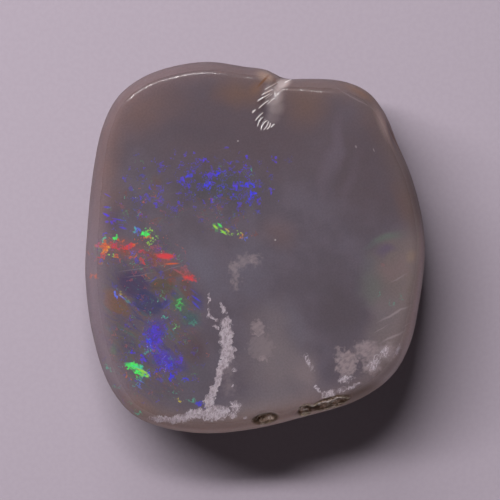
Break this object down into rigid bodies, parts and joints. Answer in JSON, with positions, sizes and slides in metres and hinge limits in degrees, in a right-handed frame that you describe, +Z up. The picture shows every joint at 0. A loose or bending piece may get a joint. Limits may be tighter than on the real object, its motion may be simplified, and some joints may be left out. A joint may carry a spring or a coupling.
{
  "type": "rough opal specimen",
  "caption": "Rounded tablet of rough opal, rubbed smooth on its top and rim, with a ribbed chip in one edge and brown pits along another, lying on its flat underside.",
  "frame": {"origin": "under the middle of the stone, on the surface that it rests on", "axes": "+Z up out of the rubbed face, +Y along the stone's length towards the chipped edge, +X to the right seen from above"},
  "size_m": [0.025, 0.0274, 0.0102],
  "materials": {
    "opal": "rubbed to a soft polish, milky grey potch with play of colour"
  },
  "bodies": {
    "root": {"opal": "opal"}
  },
  "joints": []
}
